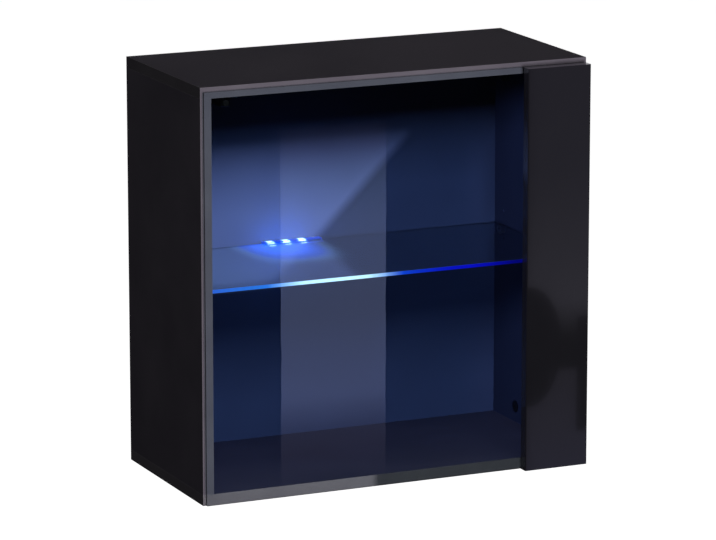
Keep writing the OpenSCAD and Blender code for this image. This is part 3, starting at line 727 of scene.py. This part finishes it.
def make_inner_lamps():
    """Bluish light on the faces inside. Gives back the lamps that the strip mustn't shade."""
    inner = area_light("inner_light", (-0.1, -2.9, 1.5), (0.0, -0.15, -0.2), (0.8, 1.0), 180.0, ROOM_BLUE)
    wall = area_light("wall_light", (-1.1, -2.2, 0.9), (0.284, -0.15, -0.15), (0.6, 0.6), 170.0, ROOM_BLUE)
    base = area_light("base_light", (-0.5, -1.4, 0.9), (-0.2, -0.15, -0.52), (0.6, 0.6), 26.0,
                      (0.85, 0.75, 1.0))
    only_on(inner, INNER_FACES)
    only_on(wall, ["right_side_panel"])
    only_on(base, ["bottom_panel"])
    return inner, base, wall


def make_studio():
    """The floor, the world, every lamp, and the cards that shade and that mirror."""
    make_world()
    stage_card("floor", (0, 0, FLOOR_Z), (120, 120), (0, 0, 1), floor_material(), ("camera",))
    make_outer_lamps()
    inner_lamps = make_inner_lamps()
    make_led_light()
    low = area_light("low_rim", (-0.28, -1.5, -0.5), (-0.28, -0.28, -0.53), (0.3, 0.3), 78.0)
    low_fill = area_light("low_fill", (-0.1, -1.5, -0.5), (-0.1, -0.28, -0.53), (0.3, 0.3), 36.0)
    for lamp in (low, low_fill):
        only_on(lamp, ["bottom_panel_edging"])
    spared_groups = make_patch_light(inner_lamps)
    make_rim_shade(low, spared_groups)
    make_reflections()


def shade_card(name, outline, card_y):
    """An upright card that no ray sees and that only throws a shadow. The outline is x, z points."""
    mesh = bpy.data.meshes.new(name)
    mesh.from_pydata([(x, card_y, z) for x, z in outline], [], [tuple(range(len(outline)))])
    mesh.materials.append(bpy.data.materials["bonding_tape"])
    card = bpy.data.objects.new(name, mesh)
    for kind in ("camera", "diffuse", "glossy", "transmission", "volume_scatter"):
        setattr(card, "visible_" + kind, False)
    bpy.context.scene.collection.objects.link(card)
    return card


def shaded_by(lamp, pieces):
    """Lets only the given pieces stand in a lamp's way."""
    blockers = bpy.data.collections.new(lamp.name + "_blockers")
    for piece in pieces:
        blockers.objects.link(piece)
    lamp.light_linking.blocker_collection = blockers


def make_patch_light(inner_lamps):
    """A lamp on the upper back board, cut off along a slanted edge by a card before the door.

    Gives back the groups of pieces that the other lamps shine through."""
    others = [item for item in bpy.context.scene.objects if item.type == "LIGHT"]
    lamp = area_light("patch_light", (0.0, -2.9, 1.75), (0.0, -0.015, -0.2), (1.5, 0.12), 640.0,
                      (0.32, 0.44, 1.0))
    only_on(lamp, ["back_panel"])
    front_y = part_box("door_strip")[0].y - SHADE_GAP
    slant_low, slant_high = (-0.205, -0.205), (0.302, 0.279)
    slant = shade_card("patch_shade", [(-0.6, slant_low[1]), slant_low, slant_high, (0.9, slant_high[1]),
                                       (0.9, -0.9), (-0.6, -0.9)], front_y)
    lay_along(lamp, Vector((slant_high[0] - slant_low[0], 0.0, slant_high[1] - slant_low[1])))
    wall_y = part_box("back_panel")[0].y
    low_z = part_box("glass_shelf")[0].z - 0.035
    below = shade_card("patch_end", [(-0.4, -0.9), (0.4, -0.9), (0.4, low_z), (-0.4, low_z)],
                       wall_y - 0.035)
    shaded_by(lamp, (slant, below, nodes["top_panel"], nodes["top_panel_edging"]))
    strip = [nodes["door_strip"], nodes["strip_tapes"]]
    return (spare_from_shadow("patch_shade_spared", others, [slant, below]),
            spare_from_shadow("strip_spared", inner_lamps, [slant, below] + strip))


def make_rim_shade(lamp, spared_groups):
    """Keeps a lamp off the right part of the bottom board's front edge, and shades no other lamp."""
    left_x = -0.042
    card = shade_card("rim_shade", [(left_x, -0.7), (0.6, -0.7), (0.6, -0.4), (left_x, -0.4)],
                      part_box("door_strip")[0].y - SHADE_GAP)
    shaded_by(lamp, (card,))
    for group in spared_groups:
        group.objects.link(card)
        group.collection_objects[-1].light_linking.link_state = "EXCLUDE"


def spare_from_shadow(name, lamps, pieces):
    """Lets the lamps shine through the given pieces. Gives back the group of those pieces."""
    spared = bpy.data.collections.new(name)
    for piece in pieces:
        spared.objects.link(piece)
    for item in spared.collection_objects:
        item.light_linking.link_state = "EXCLUDE"
    for lamp in lamps:
        lamp.light_linking.blocker_collection = spared
    return spared


def make_reflections():
    """The bright band that stands in the pane's reflection, and the room seen in the lacquered strip."""
    pane_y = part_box("door_glass")[0].y
    strip_low, strip_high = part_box("door_strip")
    card_y = pane_y - CARD_DISTANCE
    low = mirrored((-0.182, -0.530), pane_y, card_y)
    high = mirrored((-0.019, 0.000), pane_y, card_y)
    stage_card("band_card", (low + high) / 2, (high.x - low.x, high.z - low.z), (0, 1, 0),
               band_card_material(), seen_in=["door_glass"])
    low = mirrored((strip_low.x, -0.60), strip_low.y, card_y)
    high = mirrored((0.34, 0.12), strip_low.y, card_y)
    stage_card("strip_card", (low + high) / 2, (high.x - low.x, high.z - low.z), (0, 1, 0),
               strip_card_material(), seen_in=["door_strip"])
    white = (0.95, 0.94, 1.0, 1.0)
    dark = card_material("dark_card", 0.04, white)
    chair = mirrored((strip_low.x + 0.004, -0.353), strip_low.y, card_y + 0.1)
    stage_card("chair_card", chair, (0.16, 0.27), (0, 1, 0), dark, seen_in=["door_strip"], round_sides=48)
    cupboard = mirrored((strip_high.x + 0.03, -0.40), strip_low.y, card_y + 0.1)
    stage_card("cupboard_card", cupboard, (0.145, 0.26), (0, 1, 0), dark, seen_in=["door_strip"])
    away = Vector((math.sin(CAMERA_YAW), math.cos(CAMERA_YAW), math.tan(CAMERA_PITCH)))
    strip_top = Vector(((strip_low.x + strip_high.x) / 2, strip_low.y, strip_high.z))
    stage_card("top_card", strip_top + away * CARD_DISTANCE, (0.5, 0.4), -away,
               card_material("top_card", 0.7, white), seen_in=["door_strip"])


def make_led_light():
    """Blue light that leaves the emitters and the clip's windows."""
    shelf_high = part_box("glass_shelf")[1]
    for index, x in enumerate(emitter_places()):
        data = bpy.data.lights.new(f"led_glow_{index}", "POINT")
        data.energy = 0.09
        data.color = (0.01, 0.12, 1.0)
        data.shadow_soft_size = 0.003
        lamp = bpy.data.objects.new(f"led_glow_{index}", data)
        lamp.location = (x, shelf_high.y - 0.024, shelf_high.z + 0.006)
        lamp.visible_glossy = False
        lamp.visible_transmission = False
        lamp.visible_camera = False
        bpy.context.scene.collection.objects.link(lamp)
        only_on(lamp, INNER_FACES)


bpy.context.scene.view_settings.view_transform = "Standard"
make_camera()
dress_all()
make_studio()
